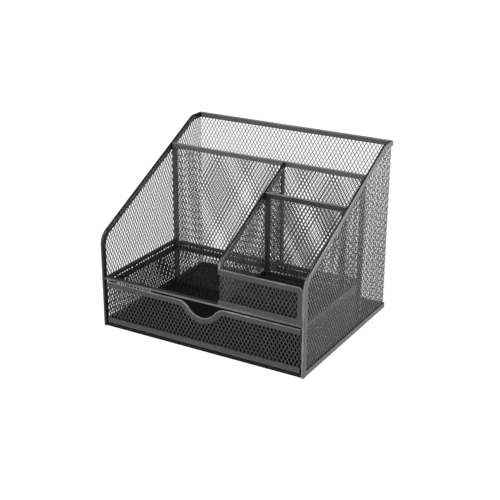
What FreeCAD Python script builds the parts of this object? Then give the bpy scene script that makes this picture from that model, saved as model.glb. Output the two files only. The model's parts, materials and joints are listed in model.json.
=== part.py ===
import FreeCAD, Part
import math
import os

# A desk stand of black expanded-metal mesh. A tall compartment runs along the back, an open tray and
# two pen cells stand on a shelf in front of it, and a drawer slides out to the front below the shelf.
# Millimetres, +Z up. X runs along the width and Y from front to back. The origin is on the table,
# under the middle of the stand.

# Outer form: each side rises from its front post, slants back, and ends level at the back
width = 228.0
depth = 186.0
height = 183.0
front_rise = 97.2
top_run = 18.6
bend_radius = 16.0

# Mesh sheet, and the folded metal channels that hold its edges
mesh_thickness = 0.6
rim_wall = 1.0
rim_width = 5.5
hem_wall = 0.7
hem_width = 5.5

# Mesh gaps: diamonds in staggered rows, wider than the real ones, at most 300 to a panel
wall_gap_pitch = 12.0
small_gap_pitch = 7.5
gap_length_share = 2.0
gap_open_share = 0.68

# Base
base_strip_height = 6.0
base_rise = 4.0
base_sheet = 1.0
base_lip_setback = 1.6

# Inner panels: distances are from the front plane, levels from the table
divider_distance = 126.4
cross_divider_distance = 86.0
shelf_level = 53.2
panel_setback = 0.6
pen_wall_place = 23.2
pen_front_level = 90.2
pen_corner_radius = 5.0

# Drawer, and the room that it needs to slide
drawer_setback = 1.2
drawer_side_gap = 2.0
drawer_back_gap = 1.5
drawer_top_gap = 2.4
drawer_floor_gap = 0.3
drawer_sheet = 1.0
scoop_place = 2.5
scoop_width = 54.0
scoop_depth = 13.6
scoop_floor_radius = 18.0

# How far a cutting solid runs past what it cuts
overrun = 1.0

# Planes and thicknesses that follow from the values above
front = -depth / 2
back = depth / 2
rim_thickness = mesh_thickness + 2 * rim_wall
hem_thickness = mesh_thickness + 2 * hem_wall
rim_inner = width / 2 - rim_thickness
side_outer = width / 2 - rim_wall
side_inner = side_outer - mesh_thickness
back_outer = back - rim_wall
back_inner = back_outer - mesh_thickness
rear_room_end = back - rim_thickness

slant = math.atan2(height - front_rise, depth - top_run)
front_bend = (front + bend_radius, front_rise - bend_radius * math.tan(math.pi / 4 - slant / 2))
top_bend = (back - top_run + bend_radius * math.tan(slant / 2), height - bend_radius)

divider_front = front + divider_distance
divider_back = divider_front + hem_thickness
cross_front = front + cross_divider_distance
cross_back = cross_front + hem_thickness
shelf_under = shelf_level - hem_thickness
panel_front = front + panel_setback
panel_back = panel_front + hem_thickness
fold_front = panel_front + hem_wall
fold_back = fold_front + mesh_thickness

pen_rim_left = pen_wall_place - rim_thickness / 2
pen_rim_right = pen_wall_place + rim_thickness / 2
pen_hem_left = pen_wall_place - hem_thickness / 2
pen_hem_right = pen_wall_place + hem_thickness / 2
pen_mesh_left = pen_wall_place - mesh_thickness / 2
pen_mesh_right = pen_wall_place + mesh_thickness / 2

drawer_front = front + drawer_setback
drawer_back = divider_front - drawer_back_gap
drawer_reach = rim_inner - drawer_side_gap
drawer_under = base_rise + drawer_floor_gap
drawer_top = shelf_under - drawer_top_gap
room_reach = drawer_reach - hem_thickness
room_front = drawer_front + hem_thickness
room_back = drawer_back - hem_thickness
drawer_mesh_reach = drawer_reach - hem_wall
drawer_mesh_front = drawer_front + hem_wall
drawer_mesh_back = drawer_back - hem_wall
scoop_centre = (scoop_place, drawer_top - scoop_depth + scoop_floor_radius)


def point(plane, u, v, w):
    """Turn a place in a flat drawing, and its height above it, into a place in the stand."""
    if plane == "front":
        return FreeCAD.Vector(u, w, v)
    if plane == "side":
        return FreeCAD.Vector(w, u, v)
    return FreeCAD.Vector(u, v, w)


def wire(plane, path, w):
    """Close a path of corners (u, v) and arcs (middle u, middle v, end u, end v)."""
    edges = []
    here = path[0]
    for step in path[1:] + path[:1]:
        end = step[-2:]
        start_point = point(plane, *here, w)
        end_point = point(plane, *end, w)
        if len(step) > len(end):
            middle_point = point(plane, *step[:2], w)
            edges.append(Part.Arc(start_point, middle_point, end_point).toShape())
        else:
            edges.append(Part.LineSegment(start_point, end_point).toShape())
        here = end
    return Part.Wire(edges)


def turns_left(path):
    """Whether a path runs counter-clockwise."""
    corners = [step[-2:] for step in path]
    pairs = zip(corners, corners[1:] + corners[:1])
    return sum(here[0] * there[1] - there[0] * here[1] for here, there in pairs) > 0


def plate(plane, path, low, high, gaps=()):
    """A flat piece with the path's outline, from one height to another, with gaps right through."""
    face = Part.Face(wire(plane, path, low))
    if gaps:
        outline_turn = turns_left(path)
        loops = [gap[::-1] if turns_left(gap) == outline_turn else gap for gap in gaps]
        face.cutHoles([wire(plane, loop, low) for loop in loops])
    return face.extrude(point(plane, 0, 0, high - low))


def rectangle(low, high):
    return [(low[0], low[1]), (high[0], low[1]), (high[0], high[1]), (low[0], high[1])]


def block(low, high):
    size = [high[axis] - low[axis] for axis in range(3)]
    return Part.makeBox(*size, FreeCAD.Vector(*low))


def channel(low, high, normal, mouth, wall):
    """A folded strip that fills a box, with a slot for the mesh, square to axis normal.

    The mouth is an axis and the side of it, 1 or -1, towards which the slot is open."""
    slot_low = list(low)
    slot_high = list(high)
    middle = (low[normal] + high[normal]) / 2
    slot_low[normal] = middle - mesh_thickness / 2
    slot_high[normal] = middle + mesh_thickness / 2
    axis, side = mouth
    if side > 0:
        slot_low[axis] += wall
        slot_high[axis] += overrun
    else:
        slot_low[axis] -= overrun
        slot_high[axis] -= wall
    along = 3 - normal - axis
    slot_low[along] -= overrun
    slot_high[along] += overrun
    return block(low, high).cut(block(slot_low, slot_high))


def mesh_gaps(low, high, pitch, inside=None):
    """Diamonds in staggered rows, as far as they lie whole between low and high and inside."""
    half_width = pitch * gap_open_share / 2
    half_length = half_width * gap_length_share
    rise = pitch * gap_length_share / 2
    middle = ((low[0] + high[0]) / 2, (low[1] + high[1]) / 2)
    columns = int((high[0] - low[0]) / pitch) + 1
    rows = int((high[1] - low[1]) / rise) + 1
    gaps = []
    for row in range(-rows, rows + 1):
        for column in range(-columns, columns + 1):
            if (row + column) % 2:
                continue
            u = middle[0] + column * pitch / 2
            v = middle[1] + row * rise
            gap = [(u - half_width, v), (u, v - half_length), (u + half_width, v), (u, v + half_length)]
            within = all(low[0] < a < high[0] and low[1] < b < high[1] for a, b in gap)
            if within and (inside is None or all(inside(a, b) for a, b in gap)):
                gaps.append(gap)
    return gaps


def around(centre, radius, angle):
    return (centre[0] + radius * math.cos(angle), centre[1] + radius * math.sin(angle))


def arc(centre, radius, start, end):
    """The step of a path that goes round a centre: its middle and its end."""
    return around(centre, radius, (start + end) / 2) + around(centre, radius, end)


def side_outline(inset, back_edge, lower_edge):
    """The outline of a side, drawn in by inset along its front, slant and top."""
    radius = bend_radius - inset
    upright = math.pi
    level = math.pi / 2
    leaning = level + slant
    return [
        (front + inset, lower_edge),
        around(front_bend, radius, upright),
        arc(front_bend, radius, upright, leaning),
        around(top_bend, radius, leaning),
        arc(top_bend, radius, leaning, level),
        (back_edge, height - inset),
        (back_edge, lower_edge),
    ]


def slope_outline(inset, back_edge, lower_edge):
    """The front bend and the slant of a side, from a lower edge back to where the slant is cut."""
    radius = bend_radius - inset
    rise = max(0, lower_edge - front_bend[1])
    start = math.pi - math.asin(rise / radius)
    path = [
        around(front_bend, radius, start),
        arc(front_bend, radius, start, math.pi / 2 + slant),
        (back_edge, slant_level(back_edge, inset)),
        (back_edge, lower_edge),
    ]
    if not rise:
        path.append((front + inset, lower_edge))
    return path


def slant_level(y, inset):
    """Height of a side's slant at y, drawn in by inset."""
    return front_rise + (y - front) * math.tan(slant) - inset / math.cos(slant)


def below_slant(y, z):
    return z < slant_level(y, rim_width)


def mirrored(shape):
    return shape.mirror(FreeCAD.Vector(0, 0, 0), FreeCAD.Vector(1, 0, 0))


def base_floor():
    """A shallow tray turned over: a raised floor with a skirt down to the table all round."""
    low = (-rim_inner, front + base_lip_setback, 0)
    high = (rim_inner, rear_room_end, base_rise)
    hollow_low = (low[0] + base_sheet, low[1] + base_sheet, -overrun)
    hollow_high = (high[0] - base_sheet, high[1] - base_sheet, base_rise - base_sheet)
    return block(low, high).cut(block(hollow_low, hollow_high))


def side_sheet():
    """The right side's mesh without its gaps."""
    path = side_outline(rim_wall, back_outer, rim_wall)
    return plate("side", path, side_inner, side_outer)


def side_mesh():
    path = side_outline(rim_wall, back_outer, rim_wall)
    low = (front + rim_width, base_strip_height)
    high = (back_inner, height - rim_width)
    gaps = mesh_gaps(low, high, wall_gap_pitch, below_slant)
    return plate("side", path, side_inner, side_outer, gaps)


def side_rim():
    """The right side's channel, up the front post, along the slant and over the top run."""
    low = rim_inner
    high = width / 2
    outer = side_outline(0, rear_room_end, 0)
    inner = side_outline(rim_width, back, -overrun)
    slot = side_outline(rim_wall, back, -overrun)
    body = plate("side", outer, low, high)
    body = body.cut(plate("side", inner, low - overrun, high + overrun))
    return body.cut(plate("side", slot, side_inner, side_outer))


def base_side_strip():
    low = (rim_inner, front + rim_width, 0)
    high = (width / 2, rear_room_end, base_strip_height)
    return channel(low, high, 0, (2, 1), rim_wall)


def back_strip(lower_edge, upper_edge, side):
    """A channel across the whole back, cut where the two side meshes run into it."""
    low = (-width / 2, rear_room_end, lower_edge)
    high = (width / 2, back, upper_edge)
    strip = channel(low, high, 1, (2, side), rim_wall)
    sheet = side_sheet()
    return strip.cut(sheet).cut(mirrored(sheet))


def back_mesh():
    low = (-side_inner, rim_wall)
    high = (side_inner, height - rim_wall)
    gap_low = (-rim_inner, base_strip_height)
    gap_high = (rim_inner, height - rim_width)
    gaps = mesh_gaps(gap_low, gap_high, wall_gap_pitch)
    return plate("front", rectangle(low, high), back_inner, back_outer, gaps)


def divider(name, face, low, pitch, left_wall, right_wall):
    """An upright panel across the stand: its mesh, rails and stiles, by name.

    A wall is the face of its mesh, the face of its rim, and the rim itself. The stiles stand against
    the mesh and are trimmed to the rim, and the rails run from rim to rim, level with the slant."""
    left, left_rim_face, left_rim = left_wall
    right, right_rim_face, right_rim = right_wall
    rear = face + hem_thickness
    high = slant_level(face + hem_thickness / 2, 0)
    stile_low = low + hem_width
    stile_high = high - hem_width
    mesh_face = face + hem_wall
    left_stile_end = left + hem_width
    right_stile_start = right - hem_width
    gaps = mesh_gaps((left_stile_end, stile_low), (right_stile_start, stile_high), pitch)
    outline = rectangle((left_rim_face, low + hem_wall), (right_rim_face, high - hem_wall))
    left_stile = channel(
        (left, face, stile_low), (left_stile_end, rear, stile_high), 1, (0, 1), hem_wall)
    right_stile = channel(
        (right_stile_start, face, stile_low), (right, rear, stile_high), 1, (0, -1), hem_wall)
    return {
        name + "_mesh": plate("front", outline, mesh_face, mesh_face + mesh_thickness, gaps),
        name + "_top_rail": channel(
            (left_rim_face, face, stile_high), (right_rim_face, rear, high), 1, (2, -1), hem_wall),
        name + "_bottom_rail": channel(
            (left_rim_face, face, low), (right_rim_face, rear, stile_low), 1, (2, 1), hem_wall),
        name + "_left_stile": left_stile.cut(left_rim),
        name + "_right_stile": right_stile.cut(right_rim),
    }


def shelf():
    """The shelf's mesh and its four hems, by name."""
    front_hem_end = panel_front + hem_width
    back_hem_start = divider_front - hem_width
    inner_edge = side_inner - hem_width
    mesh_low = (-rim_inner, panel_front + hem_wall)
    mesh_high = (rim_inner, divider_front - hem_wall)
    gaps = mesh_gaps((-inner_edge, front_hem_end), (inner_edge, back_hem_start), wall_gap_pitch)
    outline = rectangle(mesh_low, mesh_high)
    right_hem = channel(
        (inner_edge, front_hem_end, shelf_under), (side_inner, back_hem_start, shelf_level),
        2, (0, -1), hem_wall)
    return {
        "shelf_mesh": plate("level", outline, shelf_under + hem_wall, shelf_level - hem_wall, gaps),
        "shelf_front_hem": channel(
            (-rim_inner, panel_front, shelf_under), (rim_inner, front_hem_end, shelf_level),
            2, (1, 1), hem_wall),
        "shelf_back_hem": channel(
            (-side_inner, back_hem_start, shelf_under), (side_inner, divider_front, shelf_level),
            2, (1, -1), hem_wall),
        "shelf_right_hem": right_hem,
        "shelf_left_hem": mirrored(right_hem),
    }


def corner_outline(left, right, low, high, radius):
    """A rectangle whose top right corner is rounded."""
    centre = (right - radius, high - radius)
    return [
        (left, low),
        (right, low),
        (right, centre[1]),
        around(centre, radius, math.pi / 4) + (centre[0], high),
        (left, high),
    ]


def pen_front():
    """The low panel in front of the pen cells: mesh, bound top and right edge, and bottom hem.

    Both edges have a slot at the left, where the pen wall's mesh runs up to the fold."""
    bottom = shelf_level + hem_width
    slot_radius = pen_corner_radius - hem_wall
    slot_right = rim_inner - hem_wall
    slot_high = pen_front_level - hem_wall
    binding = corner_outline(pen_rim_left, rim_inner, bottom, pen_front_level, pen_corner_radius)
    window = rectangle(
        (pen_rim_left - overrun, bottom - overrun), (rim_inner - hem_width, pen_front_level - hem_width))
    slot = corner_outline(pen_rim_left - overrun, slot_right, bottom - overrun, slot_high, slot_radius)
    body = plate("front", binding, panel_front, panel_back)
    body = body.cut(plate("front", window, panel_front - overrun, panel_back + overrun))
    body = body.cut(plate("front", slot, fold_front, fold_back))
    bottom_hem = channel(
        (pen_rim_left, panel_front, shelf_level), (rim_inner, panel_back, bottom), 1, (2, 1), hem_wall)
    wall_slot = block(
        (pen_mesh_left, fold_back, shelf_level + hem_wall), (pen_mesh_right, panel_back, pen_front_level))
    sheet = corner_outline(
        pen_mesh_left, slot_right, shelf_level + hem_wall, slot_high, slot_radius)
    gaps = mesh_gaps(
        (pen_mesh_right, bottom), (rim_inner - hem_width, pen_front_level - hem_width), small_gap_pitch)
    return {
        "pen_front_mesh": plate("front", sheet, fold_front, fold_back, gaps),
        "pen_front_binding": body.cut(wall_slot),
        "pen_front_bottom_hem": bottom_hem.cut(wall_slot),
    }


def pen_wall():
    """The wall left of the pen cells, with the same front bend and slant as the sides."""
    bottom = shelf_level + hem_width
    cut_end = divider_front + overrun
    cut_start = pen_front_level - overrun
    outer = slope_outline(0, divider_front, pen_front_level)
    inner = slope_outline(rim_width, cut_end, cut_start)
    slot = slope_outline(rim_wall, cut_end, cut_start)
    rim = plate("side", outer, pen_rim_left, pen_rim_right)
    rim = rim.cut(plate("side", inner, pen_rim_left - overrun, pen_rim_right + overrun))
    rim = rim.cut(plate("side", slot, pen_mesh_left, pen_mesh_right))
    outline = slope_outline(rim_wall, divider_front - hem_wall, shelf_level + hem_wall)
    stile_front = divider_front - hem_width
    gaps = mesh_gaps((fold_back, bottom), (stile_front, height), wall_gap_pitch, below_slant)
    sheet = plate("side", outline, pen_mesh_left, pen_mesh_right, gaps)
    before_fold_low = (pen_rim_left, front - overrun, shelf_level)
    before_fold_high = (pen_rim_right, fold_back, pen_front_level)
    return {
        "pen_wall_mesh": sheet.cut(block(before_fold_low, before_fold_high)),
        "pen_wall_rim": rim,
        "pen_wall_rear_stile": channel(
            (pen_hem_left, stile_front, bottom),
            (pen_hem_right, divider_front, slant_level(stile_front, rim_width)),
            0, (1, -1), hem_wall),
        "pen_wall_bottom_hem": channel(
            (pen_hem_left, panel_back, shelf_level), (pen_hem_right, divider_front, bottom),
            0, (2, 1), hem_wall),
    }


def scooped_outline(inset, reach, lower_edge):
    """The drawer's front with its finger scoop, drawn in by inset along the upper edge.

    The scoop is an arc that dips between two shoulders, which are rounded the other way."""
    turn = 2 * math.atan(2 * scoop_depth / scoop_width)
    shoulder_radius = scoop_width / 2 / math.sin(turn) - scoop_floor_radius
    left_centre = (scoop_place - scoop_width / 2, drawer_top - shoulder_radius)
    right_centre = (scoop_place + scoop_width / 2, drawer_top - shoulder_radius)
    radius = shoulder_radius - inset
    level = drawer_top - inset
    up = math.pi / 2
    return [
        (-reach, level),
        around(left_centre, radius, up),
        arc(left_centre, radius, up, up - turn),
        arc(scoop_centre, scoop_floor_radius + inset, -up - turn, -up + turn),
        arc(right_centre, radius, up + turn, up),
        (reach, level),
        (reach, lower_edge),
        (-reach, lower_edge),
    ]


def clear_of_scoop(x, z):
    return math.hypot(x - scoop_centre[0], z - scoop_centre[1]) > scoop_floor_radius + hem_width


def drawer_side_sheet():
    """The mesh of the drawer's right wall without its gaps."""
    low = (drawer_mesh_front + mesh_thickness, drawer_under + hem_wall)
    high = (drawer_mesh_back - mesh_thickness, drawer_top - hem_wall)
    inner_face = drawer_mesh_reach - mesh_thickness
    return plate("side", rectangle(low, high), inner_face, drawer_mesh_reach)


def drawer_walls():
    """The four mesh walls of the drawer, by name."""
    low = drawer_under + hem_wall
    high = drawer_top - hem_wall
    gap_bottom = drawer_under + hem_width
    gap_top = drawer_top - hem_width
    room_low = (-room_reach, gap_bottom)
    room_high = (room_reach, gap_top)
    front_outline = scooped_outline(hem_wall, drawer_mesh_reach, low)
    front_gaps = mesh_gaps(room_low, room_high, small_gap_pitch, clear_of_scoop)
    back_outline = rectangle((-drawer_mesh_reach, low), (drawer_mesh_reach, high))
    back_gaps = mesh_gaps(room_low, room_high, small_gap_pitch)
    side_low = (drawer_mesh_front + mesh_thickness, low)
    side_high = (drawer_mesh_back - mesh_thickness, high)
    side_gaps = mesh_gaps((room_front, gap_bottom), (room_back, gap_top), small_gap_pitch)
    inner_face = drawer_mesh_reach - mesh_thickness
    right = plate("side", rectangle(side_low, side_high), inner_face, drawer_mesh_reach, side_gaps)
    front_end = drawer_mesh_front + mesh_thickness
    back_start = drawer_mesh_back - mesh_thickness
    return {
        "drawer_front_mesh": plate("front", front_outline, drawer_mesh_front, front_end, front_gaps),
        "drawer_back_mesh": plate("front", back_outline, back_start, drawer_mesh_back, back_gaps),
        "drawer_right_mesh": right,
        "drawer_left_mesh": mirrored(right),
    }


def drawer_front_rim():
    """The channel along the front's upper edge, which follows the scoop."""
    cut_low = drawer_under - overrun
    cut_reach = drawer_reach + overrun
    body = plate("front", scooped_outline(0, drawer_reach, drawer_under), drawer_front, room_front)
    below = scooped_outline(hem_width, cut_reach, cut_low)
    body = body.cut(plate("front", below, drawer_front - overrun, room_front + overrun))
    slot = scooped_outline(hem_wall, cut_reach, cut_low)
    slot_end = drawer_mesh_front + mesh_thickness
    return body.cut(plate("front", slot, drawer_mesh_front, slot_end))


def drawer_edges():
    """The channels along the upper and lower edges of the drawer's walls, by name."""
    top_low = drawer_top - hem_width
    bottom_high = drawer_under + hem_width
    edges = {"drawer_front_rim": drawer_front_rim()}
    edges["drawer_back_rim"] = channel(
        (-drawer_reach, room_back, top_low), (drawer_reach, drawer_back, drawer_top), 1, (2, -1), hem_wall)
    for name, start, end in (("front", drawer_front, room_front), ("back", room_back, drawer_back)):
        edges["drawer_" + name + "_bottom_hem"] = channel(
            (-drawer_reach, start, drawer_under), (drawer_reach, end, bottom_high), 1, (2, 1), hem_wall)
    sheet = drawer_side_sheet()
    for name, strip in edges.items():
        edges[name] = strip.cut(sheet).cut(mirrored(sheet))
    right_rim = channel(
        (room_reach, room_front, top_low), (drawer_reach, room_back, drawer_top), 0, (2, -1), hem_wall)
    right_hem = channel(
        (room_reach, room_front, drawer_under), (drawer_reach, room_back, bottom_high),
        0, (2, 1), hem_wall)
    edges["drawer_right_rim"] = right_rim
    edges["drawer_left_rim"] = mirrored(right_rim)
    edges["drawer_right_bottom_hem"] = right_hem
    edges["drawer_left_bottom_hem"] = mirrored(right_hem)
    return edges


def drawer_floor():
    low = (-room_reach, room_front, drawer_under)
    high = (room_reach, room_back, drawer_under + drawer_sheet)
    return block(low, high)


parts = {
    "base_floor": base_floor(),
    "base_right_strip": base_side_strip(),
    "base_back_strip": back_strip(0, base_strip_height, 1),
    "right_side_mesh": side_mesh(),
    "back_mesh": back_mesh(),
    "right_side_rim": side_rim(),
    "back_top_rim": back_strip(height - rim_width, height, -1),
    "drawer_floor": drawer_floor(),
}
for name in ("base_right_strip", "right_side_mesh", "right_side_rim"):
    parts[name.replace("right", "left")] = mirrored(parts[name])
parts.update(shelf())
parts.update(pen_front())
parts.update(pen_wall())
left_wall = (-side_inner, -rim_inner, parts["left_side_rim"])
right_wall = (side_inner, rim_inner, parts["right_side_rim"])
inner_wall = (pen_mesh_right, pen_rim_right, parts["pen_wall_rim"])
parts.update(divider("rear_divider", divider_front, base_rise, wall_gap_pitch, left_wall, right_wall))
parts.update(divider("cross_divider", cross_front, shelf_level, small_gap_pitch, inner_wall, right_wall))
parts.update(drawer_walls())
parts.update(drawer_edges())

os.makedirs("parts", exist_ok=True)
for name, shape in parts.items():
    solids = len(shape.Solids)
    print(name, "solids", solids, "valid", shape.isValid(), "faces", len(shape.Faces))
    shape.exportStep("parts/" + name + ".step")
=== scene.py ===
# %% [markdown]
# # A desk stand of black mesh, with a drawer
#
# The real stand is made of expanded steel mesh. Its cut edges are hidden in folded channels, all is
# welded together, and the whole is powder coated in satin black. A tall compartment runs along the
# back, an open tray and two pen cells stand on a shelf, and a drawer slides out under the shelf.
# This lesson loads the CAD model as a fixed frame and dresses it piece by piece, in metres.

# %% Load the frame
import bpy
import json
import math
from mathutils import Matrix, Vector

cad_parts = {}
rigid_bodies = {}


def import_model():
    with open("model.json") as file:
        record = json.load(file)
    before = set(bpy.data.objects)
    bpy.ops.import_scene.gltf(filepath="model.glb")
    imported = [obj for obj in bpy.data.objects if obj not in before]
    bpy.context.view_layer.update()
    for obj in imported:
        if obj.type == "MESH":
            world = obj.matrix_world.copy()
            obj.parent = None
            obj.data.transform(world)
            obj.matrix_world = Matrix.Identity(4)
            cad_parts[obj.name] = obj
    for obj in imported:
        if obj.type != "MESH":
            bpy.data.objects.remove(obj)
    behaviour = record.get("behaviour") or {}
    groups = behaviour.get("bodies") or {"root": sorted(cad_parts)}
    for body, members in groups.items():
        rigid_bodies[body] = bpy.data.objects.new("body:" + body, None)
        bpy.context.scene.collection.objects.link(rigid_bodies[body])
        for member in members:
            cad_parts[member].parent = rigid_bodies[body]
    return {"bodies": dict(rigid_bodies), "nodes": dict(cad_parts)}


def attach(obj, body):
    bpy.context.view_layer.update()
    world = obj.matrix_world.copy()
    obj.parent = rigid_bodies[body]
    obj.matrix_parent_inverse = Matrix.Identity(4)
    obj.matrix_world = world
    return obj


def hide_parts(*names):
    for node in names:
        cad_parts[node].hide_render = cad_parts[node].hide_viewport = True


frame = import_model()
cad_nodes = frame["nodes"]
kept_objects = set(cad_nodes.values()) | set(frame["bodies"].values())
for left_over in set(bpy.context.scene.objects) - kept_objects:
    bpy.data.objects.remove(left_over)
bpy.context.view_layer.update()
mm = 0.001

# %% [markdown]
# ## Working by hand, in code
#
# Blender's operators act on whatever is selected, so each step starts by selecting one piece alone.
# Inside edit mode, parts of a mesh are selected by their place or by the way they face. Selection
# flags are only read on the way into edit mode, so they are set in object mode first.

# %% Selecting and finishing
same_place = 0.01 * mm


def pick_only(piece):
    bpy.ops.object.select_all(action="DESELECT")
    piece.select_set(True)
    bpy.context.view_layer.objects.active = piece


def edit_with(piece, kind, chosen=None):
    """Go into edit mode with these vertices, edges or faces selected, or with all of them."""
    pick_only(piece)
    mesh = piece.data
    for parts in (mesh.vertices, mesh.edges, mesh.polygons):
        parts.foreach_set("select", [chosen is None] * len(parts))
    if chosen is not None:
        parts = {"VERT": mesh.vertices, "EDGE": mesh.edges, "FACE": mesh.polygons}[kind]
        for index in chosen:
            parts[index].select = True
    bpy.ops.object.mode_set(mode="EDIT")
    bpy.ops.mesh.select_mode(type=kind)


def leave_edit():
    bpy.ops.object.mode_set(mode="OBJECT")


def put_in_place(piece, place=(0, 0, 0), turn=(0, 0, 0), size=(1, 1, 1)):
    """Move, turn and scale a piece, and keep the result in its mesh."""
    pick_only(piece)
    piece.location = place
    piece.rotation_euler = turn
    piece.scale = size
    bpy.ops.object.transform_apply(location=True, rotation=True, scale=True)


def apply_modifier(piece, kind, **values):
    pick_only(piece)
    modifier = piece.modifiers.new(kind.title(), kind)
    for name, value in values.items():
        setattr(modifier, name, value)
    bpy.ops.object.modifier_apply(modifier=modifier.name)


def copy_of(piece, name):
    """A copy with its own mesh."""
    copy = piece.copy()
    copy.data = piece.data.copy()
    copy.name = name
    bpy.context.scene.collection.objects.link(copy)
    return copy


# %% [markdown]
# ## The camera
#
# The photograph was taken from the right of the front and a little above, with a short telephoto
# lens. The place, in metres, and the angles come from a fit of the stand's straight edges.

# %% Camera
camera_place = (0.5098, -0.8785, 0.4715)
camera_azimuth = math.radians(29.97)
camera_elevation = math.radians(21.38)
camera_roll = math.radians(0.32)
sensor_width_mm = 36
lens_length_mm = 77.46

camera_data = bpy.data.cameras.new("camera")
camera_data.sensor_width = sensor_width_mm
camera_data.lens = lens_length_mm
camera = bpy.data.objects.new("camera", camera_data)
camera.location = camera_place
tip_up = Matrix.Rotation(math.pi / 2 - camera_elevation, 3, "X")
aim = Matrix.Rotation(camera_azimuth, 3, "Z") @ tip_up @ Matrix.Rotation(camera_roll, 3, "Z")
camera.rotation_euler = aim.to_euler()
bpy.context.scene.collection.objects.link(camera)
bpy.context.scene.camera = camera
print("camera at", camera_place)

# %% [markdown]
# ## Floor and light
#
# The stand is on a plain white ground. Camera rays and glossy rays see a floor that glows almost
# white, and fully white farther out, and all other rays meet a plain pale floor. A little of the
# floor stays an ordinary surface for the camera too, so that it keeps the stand's shadow. Around it
# the camera sees white, while glossy rays see the room grow dark above ten degrees. That keeps the
# tops of the channels black and lets their right faces shine with the floor. The room's own light
# is soft and low, and three small lamps shape the coat: one above, which draws the bright lines
# along the folded edges, one at the right and one in front.

# %% Node helper
def add_node(tree, kind, inputs=None, **values):
    """Add a node, set its values, and link or set its inputs by name or number."""
    node = tree.nodes.new(kind)
    for name, value in values.items():
        setattr(node, name, value)
    for name, value in (inputs or {}).items():
        if isinstance(value, bpy.types.NodeSocket):
            tree.links.new(value, node.inputs[name])
        else:
            node.inputs[name].default_value = value
    return node


def white_for_eyes(tree):
    """1 for the rays that see the background: camera, glossy and transmission rays."""
    path = add_node(tree, "ShaderNodeLightPath")
    seen = add_node(tree, "ShaderNodeMath", {
        0: path.outputs["Is Camera Ray"], 1: path.outputs["Is Glossy Ray"]}, operation="MAXIMUM")
    return add_node(tree, "ShaderNodeMath", {
        0: seen.outputs[0], 1: path.outputs["Is Transmission Ray"]}, operation="MAXIMUM").outputs[0]


def smooth_ramp(tree, value, low, high, start, end):
    """A smooth change from start to end while the value runs from low to high."""
    return add_node(tree, "ShaderNodeMapRange", {
        "Value": value, "From Min": low, "From Max": high, "To Min": start, "To Max": end},
        interpolation_type="SMOOTHSTEP").outputs[0]


# %% Room light
room_strength = 0.15
dark_above = math.sin(math.radians(10))
dark_glow = 0.06

world = bpy.data.worlds.new("room")
bpy.context.scene.world = world
world.use_nodes = True
tree = world.node_tree
tree.nodes.clear()
room = add_node(tree, "ShaderNodeBackground", {"Color": (1, 1, 1, 1), "Strength": room_strength})
sky = add_node(tree, "ShaderNodeTexCoord")
height = add_node(tree, "ShaderNodeSeparateXYZ", {0: sky.outputs["Generated"]})
sweep = smooth_ramp(tree, height.outputs["Z"], 0.0, dark_above, 1.0, dark_glow)
rays = add_node(tree, "ShaderNodeLightPath")
glow = add_node(tree, "ShaderNodeMix", {
    "Factor": rays.outputs["Is Glossy Ray"], "A": 1.0, "B": sweep}, data_type="FLOAT")
backdrop = add_node(tree, "ShaderNodeBackground", {
    "Color": (1, 1, 1, 1), "Strength": glow.outputs[0]})
mixed = add_node(tree, "ShaderNodeMixShader", {
    0: white_for_eyes(tree), 1: room.outputs[0], 2: backdrop.outputs[0]})
add_node(tree, "ShaderNodeOutputWorld", {"Surface": mixed.outputs[0]})
bpy.context.scene.view_settings.view_transform = "Standard"
print("room light", room_strength)

# %% Floor
floor_width = 12
near_glow, far_glow = 0.9, 1.0
near_reach, far_reach = 0.25, 0.9
floor_tone = 0.8
shadow_tone = 0.22

bpy.ops.object.select_all(action="DESELECT")
bpy.ops.mesh.primitive_plane_add(size=floor_width, location=(0, 0, 0))
floor = bpy.context.active_object
floor.name = "floor"
floor_paint = bpy.data.materials.new("pale_floor")
floor_paint.use_nodes = True
tree = floor_paint.node_tree
tree.nodes.clear()
ground = add_node(tree, "ShaderNodeBsdfDiffuse", {"Color": (floor_tone,) * 3 + (1,)})
shaded = add_node(tree, "ShaderNodeBsdfDiffuse", {"Color": (shadow_tone,) * 3 + (1,)})
spot = add_node(tree, "ShaderNodeTexCoord")
away = add_node(tree, "ShaderNodeVectorMath", {0: spot.outputs["Object"]}, operation="LENGTH")
brightness = smooth_ramp(
    tree, away.outputs["Value"], near_reach, far_reach, near_glow, far_glow)
glow = add_node(tree, "ShaderNodeEmission", {"Color": (1, 1, 1, 1), "Strength": brightness})
seen_floor = add_node(tree, "ShaderNodeAddShader", {0: shaded.outputs[0], 1: glow.outputs[0]})
mixed = add_node(tree, "ShaderNodeMixShader", {
    0: white_for_eyes(tree), 1: ground.outputs[0], 2: seen_floor.outputs[0]})
add_node(tree, "ShaderNodeOutputMaterial", {"Surface": mixed.outputs[0]})
floor.data.materials.append(floor_paint)
print("floor", floor_width, "m across")


# %% Lamps
stand_middle = Vector((0, 0, 0.07))


def soft_lamp(name, place, size, power):
    """A square lamp that faces the middle of the stand; size in metres, power in watts."""
    data = bpy.data.lights.new(name, "AREA")
    data.size = size
    data.energy = power
    lamp = bpy.data.objects.new(name, data)
    lamp.location = place
    toward = stand_middle - Vector(place)
    lamp.rotation_euler = toward.to_track_quat("-Z", "Y").to_euler()
    bpy.context.scene.collection.objects.link(lamp)
    print(name, "at", place, power, "W")


soft_lamp("lamp_above", (-0.34, -0.42, 0.8), size=0.2, power=4.5)
soft_lamp("lamp_right", (1.0, 0.55, 0.15), size=0.3, power=18)
soft_lamp("lamp_front", (0.25, -1.2, 0.5), size=0.3, power=10)
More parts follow.
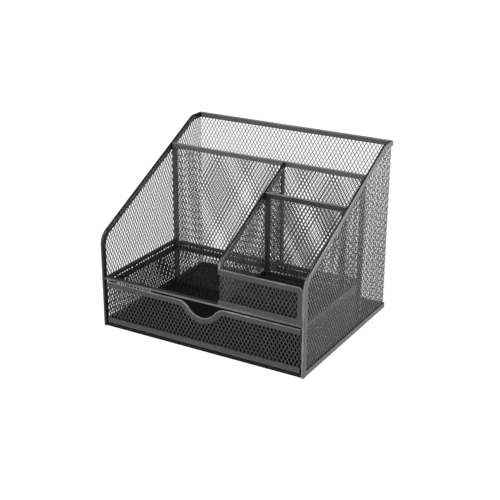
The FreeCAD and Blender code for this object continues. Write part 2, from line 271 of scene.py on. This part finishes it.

# %% [markdown]
# ## The coat
#
# Powder coat is melted plastic dust. It has a fine orange-peel surface, it is a little thinner and
# glossier where it runs over an edge, and dust settles on what faces up. Along the folds its colour
# is also lighter, partly as wear and partly as a painted highlight. Each of these is a node group
# with named inputs, made once, so that every material can use it with its own values.

# %% Shader groups
def new_group(name, inputs, outputs):
    """A node group with float inputs and outputs, and its two end nodes."""
    group = bpy.data.node_groups.new(name, "ShaderNodeTree")
    number = "NodeSocketFloat"
    for socket, value in inputs.items():
        made = group.interface.new_socket(name=socket, in_out="INPUT", socket_type=number)
        made.default_value = value
    for socket in outputs:
        group.interface.new_socket(name=socket, in_out="OUTPUT", socket_type=number)
    return group, group.nodes.new("NodeGroupInput"), group.nodes.new("NodeGroupOutput")


def noise(tree, scale, detail=2.0):
    """Noise in object space; the scale is in bumps per metre, as a number or a socket."""
    place = add_node(tree, "ShaderNodeTexCoord")
    return add_node(tree, "ShaderNodeTexNoise", {
        "Vector": place.outputs["Object"], "Scale": scale, "Detail": detail}).outputs[0]


speckle_height = 0.25
patches_per_metre = 45.0
patch_strength = 0.6

orange_peel, group_in, group_out = new_group(
    "orange_peel", {"Bumps per metre": 900.0, "Speckle per metre": 5000.0}, ["Height", "Tone"])
peel = noise(orange_peel, group_in.outputs["Bumps per metre"])
speckle = noise(orange_peel, group_in.outputs["Speckle per metre"], 0.0)
height_sum = add_node(orange_peel, "ShaderNodeMath", {
    0: speckle, 1: speckle_height, 2: peel}, operation="MULTIPLY_ADD")
patches = noise(orange_peel, patches_per_metre, 3.0)
tone = add_node(orange_peel, "ShaderNodeMath", {
    0: patches, 1: patch_strength, 2: speckle}, operation="MULTIPLY_ADD")
orange_peel.links.new(height_sum.outputs[0], group_out.inputs["Height"])
orange_peel.links.new(tone.outputs[0], group_out.inputs["Tone"])
print("group", orange_peel.name)

# %% Dust, and rubbed edges with a painted highlight
dust_slope = (0.6, 0.98)
clumps_per_metre = 160.0
clump_range = (0.42, 0.75)

settled_dust, group_in, group_out = new_group("settled_dust", {"Amount": 0.3}, ["Mask"])
facing = add_node(settled_dust, "ShaderNodeTexCoord")
upward = add_node(settled_dust, "ShaderNodeSeparateXYZ", {0: facing.outputs["Normal"]})
level = add_node(settled_dust, "ShaderNodeMapRange", {
    "Value": upward.outputs["Z"], "From Min": dust_slope[0], "From Max": dust_slope[1]})
clumps = add_node(settled_dust, "ShaderNodeMapRange", {
    "Value": noise(settled_dust, clumps_per_metre, 4.0),
    "From Min": clump_range[0], "From Max": clump_range[1]})
lying = add_node(settled_dust, "ShaderNodeMath", {
    0: level.outputs[0], 1: clumps.outputs[0]}, operation="MULTIPLY")
dust_mask = add_node(settled_dust, "ShaderNodeMath", {
    0: lying.outputs[0], 1: group_in.outputs["Amount"]}, operation="MULTIPLY")
settled_dust.links.new(dust_mask.outputs[0], group_out.inputs["Mask"])

# The fold mask lightens the colour, partly as wear and partly as a painted highlight along the
# folds.
rubs_per_metre = 70.0
rub_range = (0.3, 0.7)
least_rub = 0.4

rub_and_highlight_edge, group_in, group_out = new_group("rub_and_highlight_edge", {"Amount": 0.5}, ["Mask"])
folded = add_node(rub_and_highlight_edge, "ShaderNodeAttribute", attribute_name="fold")
uneven = add_node(rub_and_highlight_edge, "ShaderNodeMapRange", {
    "Value": noise(rub_and_highlight_edge, rubs_per_metre, 3.0),
    "From Min": rub_range[0], "From Max": rub_range[1], "To Min": least_rub})
rub_and_highlight_mask = add_node(rub_and_highlight_edge, "ShaderNodeMath", {
    0: folded.outputs["Fac"], 1: uneven.outputs[0]}, operation="MULTIPLY")
edge_mask = add_node(rub_and_highlight_edge, "ShaderNodeMath", {
    0: rub_and_highlight_mask.outputs[0], 1: group_in.outputs["Amount"]}, operation="MULTIPLY")
rub_and_highlight_edge.links.new(edge_mask.outputs[0], group_out.inputs["Mask"])
print("groups", settled_dust.name, rub_and_highlight_edge.name)


# %% Coat material
# The parts of the peel's tone that are spread over a coat's colour and over its roughness.
coat_tones = (0.55, 1.05)
rough_tones = (0.5, 1.1)
rough_spread = 0.06
# The lighter colour on marked folds: partly wear, partly a painted highlight.
rub_and_highlight_tone = 0.25
rubbed_rough = 0.3
dust_tone = 0.3


def use_group(tree, group, **values):
    """Add a node group and set its inputs, such as Bumps_per_metre for "Bumps per metre"."""
    node = tree.nodes.new("ShaderNodeGroup")
    node.node_tree = group
    for name, value in values.items():
        node.inputs[name.replace("_", " ").capitalize()].default_value = value
    return node


def powder_coat(name, dark, light, rough, peel_depth, bumps, dust=0.0, rub_and_highlight=0.0, shine=0.5):
    """A black coat between two tones, with its peel, its dust and its folds, which are lightened
    partly as wear and partly as a painted highlight.
    """
    paint = bpy.data.materials.new(name)
    paint.use_nodes = True
    tree = paint.node_tree
    tree.nodes.clear()
    peel = use_group(tree, orange_peel, Bumps_per_metre=bumps)
    dusty = use_group(tree, settled_dust, Amount=dust)
    rub_and_highlight_mask = use_group(tree, rub_and_highlight_edge, Amount=rub_and_highlight)
    coat = add_node(tree, "ShaderNodeMapRange", {
        "Value": peel.outputs["Tone"], "From Min": coat_tones[0], "From Max": coat_tones[1],
        "To Min": dark, "To Max": light})
    worn_and_highlighted = add_node(tree, "ShaderNodeMix", {
        "Factor": rub_and_highlight_mask.outputs["Mask"], "A": coat.outputs[0], "B": rub_and_highlight_tone},
        data_type="FLOAT")
    grey = add_node(tree, "ShaderNodeMix", {
        "Factor": dusty.outputs["Mask"], "A": worn_and_highlighted.outputs[0], "B": dust_tone},
        data_type="FLOAT")
    colour = add_node(tree, "ShaderNodeCombineColor", {
        "Red": grey.outputs[0], "Green": grey.outputs[0], "Blue": grey.outputs[0]})
    rough_range = add_node(tree, "ShaderNodeMapRange", {
        "Value": peel.outputs["Tone"], "From Min": rough_tones[0], "From Max": rough_tones[1],
        "To Min": rough - rough_spread, "To Max": rough + rough_spread})
    worn_rough = add_node(tree, "ShaderNodeMix", {
        "Factor": rub_and_highlight_mask.outputs["Mask"], "A": rough_range.outputs[0], "B": rubbed_rough},
        data_type="FLOAT")
    bump = add_node(tree, "ShaderNodeBump", {
        "Height": peel.outputs["Height"], "Distance": peel_depth, "Strength": 1.0})
    shader = add_node(tree, "ShaderNodeBsdfPrincipled", {
        "Base Color": colour.outputs[0], "Roughness": worn_rough.outputs[0],
        "Normal": bump.outputs[0], "IOR": 1.5, "Specular IOR Level": shine})
    add_node(tree, "ShaderNodeOutputMaterial", {"Surface": shader.outputs[0]})
    print("material", name)
    return paint


# %% [markdown]
# ## One powder, seven coats
#
# The whole stand is sprayed with one powder, but its pieces don't look alike in the photograph. The
# two long rails at the back get a lighter colour than the other channels, a painted highlight, and
# the channels that are seen from inside the stand get a blacker colour, painted shade. The mesh has
# a finer peel, and on the two sides it is glossier. The flat sheets and the shelf's mesh get a
# near-black colour, painted shade, and the front edge of the stand's floor, below the drawer, is
# darker still, a painted shadow.

# %% The seven coats
on_channels = {"rough": 0.4, "peel_depth": 0.02 * mm, "bumps": 900.0, "dust": 0.015, "rub_and_highlight": 0.8}
on_mesh = {"peel_depth": 0.01 * mm, "bumps": 1500.0, "dust": 0.02}
on_sheets = {"peel_depth": 0.03 * mm, "bumps": 700.0}

channel_coat = powder_coat("channel_coat", 0.022, 0.034, **on_channels)
# Lighter colour for the two back rails: a painted highlight.
rail_painted_highlight_coat = powder_coat("rail_painted_highlight_coat", 0.05, 0.065, **on_channels)
# Near-black colour for channels seen inside the stand: painted shade.
inner_painted_shade_coat = powder_coat("inner_painted_shade_coat", 0.004, 0.008, **on_channels)
mesh_coat = powder_coat("mesh_coat", 0.026, 0.04, rough=0.42, **on_mesh)
side_coat = powder_coat("side_coat", 0.022, 0.034, rough=0.25, shine=0.8, **on_mesh)
# Near-black colour for the floors and the shelf's mesh: painted shade.
sheet_painted_shade_coat = powder_coat("sheet_painted_shade_coat", 0.004, 0.007, rough=0.45, shine=0.3, dust=0.02, **on_sheets)
# Darkest colour for the floor's front edge below the drawer: a painted shadow.
lip_painted_shadow_coat = powder_coat("lip_painted_shadow_coat", 0.003, 0.005, rough=0.7, shine=0.15, **on_sheets)

# %% [markdown]
# ## The mesh, as one sheet
#
# Expanded mesh is a sheet that is slit and pulled open. Its gaps are diamonds in staggered rows,
# here 4.2 mm wide and 7.4 mm high. A grid of squares, turned by 45 degrees and stretched, gives
# exactly those diamonds, so one flat sheet of them is made once. Each panel starts as a copy of it.

# %% The sheet of diamonds
belt_reach = 112.7 * mm
belt_columns = 54
cell_width = 2 * belt_reach / belt_columns
cell_height = 7.4 * mm
sheet_cells = 84
sheet_width = sheet_cells * cell_width / math.sqrt(2)

bpy.ops.object.select_all(action="DESELECT")
bpy.ops.mesh.primitive_grid_add(
    x_subdivisions=sheet_cells, y_subdivisions=sheet_cells, size=sheet_width)
diamond_sheet = bpy.context.active_object
diamond_sheet.name = "diamond_sheet"
put_in_place(diamond_sheet, turn=(0, 0, math.radians(45)))
put_in_place(diamond_sheet, size=(1, cell_height / cell_width, 1))
print("diamonds in the sheet:", len(diamond_sheet.data.polygons))

# %% [markdown]
# ## From diamonds to strands
#
# A panel is cut to its outline while it is still flat diamonds. Insetting every diamond by half a
# strand and deleting the middles leaves the strands. A strand of expanded mesh is tilted, one edge
# to the front and the other to the back, so the two side corners of each gap are moved a little
# apart. Then the strands get their thickness, and smooth shading makes the coat look round. The
# shelf, the drawer, the pen section's front and the cross divider have slightly wider strands, and
# the strands of the two left panels lean a little more.

# %% Panel steps
strand_width = 0.7 * mm
wide_strand_width = 0.72 * mm
strand_tilt = 0.2 * mm
left_tilt = 0.29 * mm
strand_thickness = 0.22 * mm
smallest_inradius = 0.36 * mm
# The share of a cell by which a gap's side corner may be off its place.
corner_tolerance = 0.01
both_sides = (("left", -1, left_tilt), ("right", 1, strand_tilt))


def cut_flat(panel, cuts):
    """Cut away what lies beyond each line, given by a point of it and the way out."""
    for (u, v), outward in cuts:
        edit_with(panel, "FACE")
        bpy.ops.mesh.bisect(plane_co=(u, v, 0), plane_no=(*outward, 0), clear_outer=True)
        leave_edit()


def inradius(panel, face):
    """The radius of the largest circle inside a diamond, and about that inside a part of one."""
    corners = [panel.data.vertices[index].co for index in face.vertices]
    around = sum((a - b).length for a, b in zip(corners, corners[1:] + corners[:1]))
    return 2 * face.area / around


def open_strands(panel, middle, stretch, strand, tilt):
    """Turn diamonds into tilted strands, and drop the slivers left by a cut."""
    slivers = [
        face.index for face in panel.data.polygons
        if inradius(panel, face) < smallest_inradius]
    if slivers:
        edit_with(panel, "FACE", slivers)
        bpy.ops.mesh.delete(type="FACE")
        leave_edit()
    edit_with(panel, "FACE")
    bpy.ops.mesh.inset(thickness=strand / 2, use_individual=True, use_even_offset=True)
    bpy.ops.mesh.delete(type="FACE")
    leave_edit()
    width = cell_width * stretch
    full_inradius = width * cell_height / 2 / math.hypot(width, cell_height)
    half_gap = (1 - strand / 2 / full_inradius) / 2
    for side in (-1, 1):
        corner = 0.5 + side * half_gap
        chosen = []
        for vertex in panel.data.vertices:
            across = (vertex.co.x - middle[0]) / width
            along = (vertex.co.y - middle[1]) / cell_height
            places = ((across + along) % 1, (across - along) % 1)
            if all(abs(place - corner) < corner_tolerance for place in places):
                chosen.append(vertex.index)
        edit_with(panel, "VERT", chosen)
        bpy.ops.transform.translate(value=(0, 0, -side * tilt))
        leave_edit()
    apply_modifier(panel, "SOLIDIFY", thickness=strand_thickness, offset=0)


# %% [markdown]
# ## Standing the panels up
#
# A panel is drawn flat, with u to the right and v upwards, and is then turned into its plane: front
# (u is x, v is z), side (u is y, v is z) or level (u is x, v is y). Where the mesh folds round a
# corner, both panels are cut along the corner's diagonal, and their cells are counted from the
# fold, so that strand meets strand.

# %% Panel builder
panel_turns = {
    "front": (math.pi / 2, 0, 0), "side": (math.pi / 2, 0, math.pi / 2), "level": (0, 0, 0)}
panel_offsets = {"front": (0, 1, 0), "side": (1, 0, 0), "level": (0, 0, 1)}
# The shelf's mesh takes the near-black sheet coat, painted shade.
panel_coats = {
    "left_side_mesh": side_coat, "right_side_mesh": side_coat, "shelf_mesh": sheet_painted_shade_coat}


def cut_folds(panel, folds):
    """Cut a standing panel along the diagonals of its corners, and close the cut strands."""
    for (x, y), outward in folds:
        edit_with(panel, "FACE")
        bpy.ops.mesh.bisect(
            plane_co=(x, y, 0), plane_no=(*outward, 0), clear_outer=True, use_fill=True)
        leave_edit()


def mesh_panel(node, plane, depth, middle, cuts, folds=(), stretch=1.0,
               strand=strand_width, tilt=strand_tilt):
    """Make the strands that stand for one CAD node; depth is the place along the normal."""
    panel = copy_of(diamond_sheet, node + "_strands")
    put_in_place(panel, place=(*middle, 0), size=(stretch, 1, 1))
    cut_flat(panel, cuts)
    open_strands(panel, middle, stretch, strand, tilt)
    offset = [axis * depth for axis in panel_offsets[plane]]
    put_in_place(panel, turn=panel_turns[plane])
    put_in_place(panel, place=offset)
    cut_folds(panel, folds)
    panel.data.shade_smooth()
    panel.data.materials.append(panel_coats.get(node, mesh_coat))
    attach(panel, "drawer" if node.startswith("drawer") else "stand")
    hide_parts(node)
    print(panel.name, "faces", len(panel.data.polygons))
    return panel


# %% [markdown]
# ## The outer belt
#
# One belt of mesh makes the left side, the back and the right side, folded at the two back corners.
# The upper edge of a side follows the front post, the bend, the slant and the level top run.

# %% Outline of a side
def level_cuts(low, high):
    """Cuts along a lower and an upper edge."""
    return [((0, low), (0, -1)), ((0, high), (0, 1))]


def side_cuts(low, high):
    """Cuts across, at a left and a right edge."""
    return [((low, 0), (-1, 0)), ((high, 0), (1, 0))]


stand_height = 183 * mm
stand_depth = 186 * mm
top_run = 18.6 * mm
front_plane = -stand_depth / 2
front_rise = 97.2 * mm
slant = math.atan2(stand_height - front_rise, stand_depth - top_run)
bend_radius = 16 * mm
bend_centre = (
    front_plane + bend_radius,
    front_rise + bend_radius * (math.tan(slant) - 1 / math.cos(slant)))
in_channel = 1.5 * mm
in_bend = 1.6 * mm


def slope_cuts():
    """Cuts along the slant of a side and across its lower bend, inside the channel."""
    up = (-math.sin(slant), math.cos(slant))
    slant_point = (front_plane - in_channel * up[0], front_rise - in_channel * up[1])
    half_way = (math.pi + math.pi / 2 + slant) / 2
    out = (math.cos(half_way), math.sin(half_way))
    radius = bend_radius - in_bend
    bend_point = (bend_centre[0] + radius * out[0], bend_centre[1] + radius * out[1])
    return [(slant_point, up), (bend_point, out)]


print("slant", round(math.degrees(slant), 2), "degrees")

# %% Back and sides
belt_bottom = 1.6 * mm
belt_top = 181.5 * mm
belt_back = 91.7 * mm
belt_middle = 91.5 * mm
side_cells = 22

belt_edges = level_cuts(belt_bottom, belt_top)
back_cuts = belt_edges + side_cuts(-belt_reach - cell_width, belt_reach + cell_width)
mesh_panel("back_mesh", "front", belt_back, (0, belt_middle), back_cuts, [
    ((belt_reach, belt_back), (1, -1)), ((-belt_reach, belt_back), (-1, -1))])

side_outline = belt_edges + slope_cuts() + side_cuts(
    front_plane + in_channel, belt_back + cell_width)
side_middle = (belt_back - side_cells * cell_width, belt_middle)
for side_name, side, tilt in both_sides:
    mesh_panel(side_name + "_side_mesh", "side", side * belt_reach, side_middle, side_outline, [
        ((side * belt_reach, belt_back), (-side, 1))], tilt=tilt)

# %% [markdown]
# ## The inner panels
#
# The rear divider, the shelf and the cross divider are flat panels with a channel on all four
# edges, and end inside its slot. The two dividers are mounted with their strands leaning the other
# way. The pen section is a second belt: its wall follows the slant, and folds into the low front.

# %% Dividers and shelf
inner_reach = 110.9 * mm
inner_back = 32 * mm
above_shelf = 54.6 * mm

divider_place = 34.4 * mm
divider_middle = 84 * mm
divider_bottom, divider_top = 5.4 * mm, 161.1 * mm
mesh_panel("rear_divider_mesh", "front", divider_place, (0, divider_middle),
           level_cuts(divider_bottom, divider_top) + side_cuts(-inner_reach, inner_reach),
           tilt=-strand_tilt)

shelf_place = 52.2 * mm
shelf_middle = -29 * mm
shelf_front = -91 * mm
mesh_panel("shelf_mesh", "level", shelf_place, (0, shelf_middle),
           level_cuts(shelf_front, inner_back) + side_cuts(-inner_reach, inner_reach),
           strand=wide_strand_width)

cross_place = -6 * mm
cross_middle = (68 * mm, 97 * mm)
cross_top = 140.3 * mm
cross_left = 25 * mm
mesh_panel("cross_divider_mesh", "front", cross_place, cross_middle,
           level_cuts(above_shelf, cross_top) + side_cuts(cross_left, inner_reach),
           strand=wide_strand_width, tilt=-strand_tilt)

# %% Pen section
pen_fold = (23.2 * mm, -91.4 * mm)
pen_middle_level = 71 * mm
pen_front_cells = 10
pen_wall_cells = 15
pen_top = 88.8 * mm
pen_right = 110 * mm
pen_corner = (109.3 * mm, 88.1 * mm)

pen_front_middle = (pen_fold[0] + pen_front_cells * cell_width, pen_middle_level)
pen_front_cuts = level_cuts(above_shelf, pen_top) + side_cuts(
    pen_fold[0] - cell_width, pen_right) + [(pen_corner, (1, 1))]
mesh_panel("pen_front_mesh", "front", pen_fold[1], pen_front_middle, pen_front_cuts,
           [(pen_fold, (-1, 1))], strand=wide_strand_width)

pen_wall_middle = (pen_fold[1] + pen_wall_cells * cell_width, pen_middle_level)
pen_wall_cuts = [((0, above_shelf), (0, -1))] + slope_cuts() + side_cuts(
    pen_fold[1] - cell_width, inner_back)
mesh_panel("pen_wall_mesh", "side", pen_fold[0], pen_wall_middle, pen_wall_cuts,
           [(pen_fold, (1, -1))])

# %% [markdown]
# ## The drawer's belt
#
# The drawer is a belt of mesh with four folded corners. Its cells are stretched by less than one
# percent so that a whole number of them fits between the folds. The height of its rows decides how
# dense the drawer's ends look, because they are seen together with the sides of the stand.

# %% Drawer front and back
drawer_reach = 108.4 * mm
drawer_front = -90.8 * mm
drawer_back = 30.9 * mm
drawer_level = 30.2 * mm
drawer_low_edge, drawer_high_edge = 5.6 * mm, 47.5 * mm
across_cells = 52

drawer_edges = level_cuts(drawer_low_edge, drawer_high_edge)
across_stretch = 2 * drawer_reach / (across_cells * cell_width)
across_cuts = drawer_edges + side_cuts(-drawer_reach - cell_width, drawer_reach + cell_width)
drawer_front_piece = mesh_panel(
    "drawer_front_mesh", "front", drawer_front, (0, drawer_level), across_cuts,
    [((drawer_reach, drawer_front), (1, 1)), ((-drawer_reach, drawer_front), (-1, 1))],
    across_stretch, wide_strand_width)
mesh_panel(
    "drawer_back_mesh", "front", drawer_back, (0, drawer_level), across_cuts,
    [((drawer_reach, drawer_back), (1, -1)), ((-drawer_reach, drawer_back), (-1, -1))],
    across_stretch, wide_strand_width)

# %% Drawer ends
along_cells = 29
cells_to_middle = 14

along_stretch = (drawer_back - drawer_front) / (along_cells * cell_width)
along_middle = (drawer_back - cells_to_middle * cell_width * along_stretch, drawer_level)
along_cuts = drawer_edges + side_cuts(drawer_front - cell_width, drawer_back + cell_width)
for side_name, side, tilt in both_sides:
    place = side * drawer_reach
    mesh_panel(
        "drawer_" + side_name + "_mesh", "side", place, along_middle, along_cuts,
        [((place, drawer_front), (-side, -1)), ((place, drawer_back), (-side, 1))],
        along_stretch, wide_strand_width, tilt)

# %% [markdown]
# ## The finger scoop
#
# The top of the drawer's front dips in a scoop, with round shoulders. A cutter is drawn as a hand
# would draw it: a point, spun round each of the three centres in turn, closed above, and extruded.
# A Boolean modifier then takes it out of the front's strands.

# %% Scoop cutter
scoop_inset = 1.3 * mm
scoop_x = 2.5 * mm
drawer_top = 48.8 * mm
scoop_half = 27 * mm
scoop_depth = 13.6 * mm
scoop_radius = 18 * mm
scoop_turn = 2 * math.atan(scoop_depth / scoop_half)
shoulder_radius = scoop_half / math.sin(scoop_turn) - scoop_radius
cutter_depth = 4 * mm
cutter_rise = 4 * mm
steps_in_turn = 6

bpy.ops.object.select_all(action="DESELECT")
bpy.ops.mesh.primitive_plane_add(size=cutter_depth, location=(0, 0, 0))
cutter = bpy.context.active_object
cutter.name = "scoop_cutter"
edit_with(cutter, "VERT", [1, 2, 3])
bpy.ops.mesh.delete(type="VERT")
leave_edit()
start = Vector((
    scoop_x - scoop_half, drawer_front - cutter_depth / 2, drawer_top - scoop_inset))
cutter.data.vertices[0].co = start
edit_with(cutter, "VERT")
centres = (
    (scoop_x - scoop_half, drawer_top - shoulder_radius, -1),
    (scoop_x, drawer_top - scoop_depth + scoop_radius, 2),
    (scoop_x + scoop_half, drawer_top - shoulder_radius, -1))
for centre_x, centre_z, turns in centres:
    bpy.ops.mesh.spin(
        steps=steps_in_turn * abs(turns), angle=turns * scoop_turn,
        center=(centre_x, start.y, centre_z), axis=(0, 1, 0))
leave_edit()
line_ends = [
    vertex.index for vertex in cutter.data.vertices
    if abs(abs(vertex.co.x - scoop_x) - scoop_half) < same_place]
edit_with(cutter, "VERT", line_ends)
bpy.ops.mesh.extrude_region_move(TRANSFORM_OT_translate={"value": (0, 0, cutter_rise)})
leave_edit()
print("cutter ends", len(line_ends), "points", len(cutter.data.vertices))

# %% Cut the scoop
edit_with(cutter, "VERT")
bpy.ops.mesh.edge_face_add()
bpy.ops.mesh.extrude_region_move(TRANSFORM_OT_translate={"value": (0, cutter_depth, 0)})
bpy.ops.mesh.select_all(action="SELECT")
bpy.ops.mesh.normals_make_consistent(inside=False)
leave_edit()
apply_modifier(drawer_front_piece, "BOOLEAN", operation="DIFFERENCE", object=cutter, solver="EXACT")
bpy.data.objects.remove(cutter)
bpy.data.objects.remove(diamond_sheet)
print("drawer front faces", len(drawer_front_piece.data.polygons))

# %% [markdown]
# ## The channels
#
# A channel is a strip of thin steel, folded over the cut edge of the mesh and pressed flat. Its
# fold is round, and that roundness draws the bright line along each edge. The CAD solids already
# have the right places and slots, so each is copied, its triangles are merged back into flat faces,
# and the two edges of its fold are bevelled. The bevel's faces are marked, so that the shader
# paints them lighter, partly as wear and partly as a painted highlight.

# %% Copying a solid
flat_limit = math.radians(1)
sharp_limit = math.radians(35)
weld_reach = 0.001 * mm


def clean_copy(node):
    """A copy of a CAD node, merged and with whole flat faces."""
    piece = bpy.data.objects.new(node + "_coated", cad_nodes[node].data.copy())
    bpy.context.scene.collection.objects.link(piece)
    piece.data.materials.clear()
    edit_with(piece, "VERT")
    bpy.ops.mesh.customdata_custom_splitnormals_clear()
    bpy.ops.mesh.remove_doubles(threshold=weld_reach)
    bpy.ops.mesh.dissolve_limited(angle_limit=flat_limit)
    leave_edit()
    return piece


# %% [markdown]
# ## Finding the fold
#
# A channel's faces are told apart by how they lie. Its flat sides face along its thickness. Its
# lips and the bottom of its slot don't reach through the whole thickness. Of the faces that do, the
# fold is a whole strip, while the ends are notched by the slot, so that they have less area than a
# strip of their length.

# %% Fold edges
side_facing = 0.9
whole_reach = 0.99
whole_area = 0.97


def reach_along(mesh, face, axis):
    places = [mesh.vertices[index].co[axis] for index in face.vertices]
    return max(places) - min(places)


def length_across(mesh, face, axis):
    """How far apart two vertices of a face are at most, seen along the axis."""
    others = [other for other in range(3) if other != axis]
    flat = [[mesh.vertices[index].co[other] for other in others] for index in face.vertices]
    return max(math.dist(a, b) for a in flat for b in flat)


def fold_edges(mesh, axis):
    """The edges between a channel's fold and its flat sides; axis goes through its thickness."""
    places = [vertex.co[axis] for vertex in mesh.vertices]
    thickness = max(places) - min(places)
    kinds = {}
    for face in mesh.polygons:
        if abs(face.normal[axis]) > side_facing:
            kind = "side"
        elif reach_along(mesh, face, axis) < whole_reach * thickness:
            kind = "slot"
        elif face.area > whole_area * thickness * length_across(mesh, face, axis):
            kind = "fold"
        else:
            kind = "end"
        for key in face.edge_keys:
            kinds.setdefault(key, set()).add(kind)
    return [edge.index for edge in mesh.edges if kinds.get(edge.key) == {"fold", "side"}]


# %% Marking the fold
all_round = 1.1
front_only = -0.8
nowhere = -1.1


def mark_fold(piece, facing=all_round, share=1.0):
    """Mark the selected faces as a fold, where their normal's y is below facing; the shader
    paints them lighter, partly as wear and partly as a painted highlight.
    """
    marks = [share * (face.select and face.normal.y < facing) for face in piece.data.polygons]
    fold = piece.data.attributes.new("fold", "FLOAT", "FACE")
    fold.data.foreach_set("value", marks)


# %% [markdown]
# ## Dressing the channels
#
# The top rails of the two dividers are folded rounder than the rest. The fold marks paint a lighter
# colour, partly wear and partly a painted highlight. Some channels are seen at a low angle and
# would shine all along their fold, so only the parts that face the front are marked there, or none.
# The shelf's front hem gets less of this painted highlight than the others, and the drawer's front
# rim, where hands go, gets more wear and more painted highlight.

# %% Dress the channels
fold_radius_share = 0.29
rail_radius_share = 0.45
edge_bevel = 0.08 * mm
# Where the painted highlight on folds is kept: everywhere, only on front-facing parts, or nowhere.
highlight_facing = {
    "left_side_rim": nowhere, "pen_wall_rim": front_only, "right_side_rim": front_only}
rub_and_highlight_share = {"shelf_front_hem": 0.5, "drawer_front_rim": 1.25}
# The back rails take the painted-highlight coat, and the inner channels the painted-shade coat.
piece_coats = {
    "rear_divider_top_rail": rail_painted_highlight_coat, "back_top_rim": rail_painted_highlight_coat, "left_side_rim": inner_painted_shade_coat,
    "pen_wall_rim": inner_painted_shade_coat, "pen_wall_rear_stile": inner_painted_shade_coat}
for node in cad_nodes:
    if node.startswith("cross_divider_"):
        piece_coats[node] = inner_painted_shade_coat


def finish_piece(piece, node, coat):
    """Soften a piece's sharp edges, smooth its faces and hand it over to the frame."""
    apply_modifier(
        piece, "BEVEL", width=edge_bevel, segments=1, limit_method="ANGLE",
        angle_limit=sharp_limit, use_clamp_overlap=False)
    pick_only(piece)
    bpy.ops.object.shade_smooth_by_angle(angle=sharp_limit)
    piece.data.materials.append(coat)
    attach(piece, "drawer" if node.startswith("drawer") else "stand")
    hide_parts(node)


def folded_channel(node):
    """Dress one channel: round its fold, mark it and coat it."""
    piece = clean_copy(node)
    places = list(zip(*[vertex.co for vertex in piece.data.vertices]))
    reaches = [max(line) - min(line) for line in places]
    axis = reaches.index(min(reaches))
    folds = fold_edges(piece.data, axis)
    share = rail_radius_share if node.endswith("_top_rail") else fold_radius_share
    edit_with(piece, "EDGE", folds)
    bpy.ops.mesh.bevel(
        offset=share * reaches[axis], segments=4, affect="EDGES", clamp_overlap=False)
    leave_edit()
    mark_fold(piece, highlight_facing.get(node, all_round), rub_and_highlight_share.get(node, 1.0))
    finish_piece(piece, node, piece_coats.get(node, channel_coat))
    print(piece.name, "fold edges", len(folds), "faces", len(piece.data.polygons))


plates = ("base_floor", "drawer_floor")
for node in sorted(cad_nodes):
    if not node.endswith("_mesh") and node not in plates:
        folded_channel(node)

# %% [markdown]
# ## The floors
#
# The floor of the stand and the floor of the drawer are plain pressed sheets. They only need soft
# upper edges and a near-black colour, painted shade for where they lie inside the stand. The front
# edge of the stand's floor is in the drawer's shade and gets a darker coat of its own, a painted
# shadow.

# %% Dress the floors
sheet_bevel = 0.35 * mm
lip_reach = 0.5 * mm


def upper_edges(mesh):
    top = max(vertex.co.z for vertex in mesh.vertices)
    return [
        edge.index for edge in mesh.edges
        if all(abs(mesh.vertices[index].co.z - top) < same_place for index in edge.vertices)]


def coat_lip(mesh):
    """Give the faces at the front edge the second material, the painted shadow coat."""
    mesh.materials.append(lip_painted_shadow_coat)
    front = min(vertex.co.y for vertex in mesh.vertices)
    for face in mesh.polygons:
        if face.center.y < front + lip_reach:
            face.material_index = 1


for node in plates:
    plate = clean_copy(node)
    edit_with(plate, "EDGE", upper_edges(plate.data))
    bpy.ops.mesh.bevel(offset=sheet_bevel, segments=2, affect="EDGES", clamp_overlap=False)
    leave_edit()
    mark_fold(plate)
    finish_piece(plate, node, sheet_painted_shade_coat)
    if node == "base_floor":
        coat_lip(plate.data)
    print(plate.name, "faces", len(plate.data.polygons))
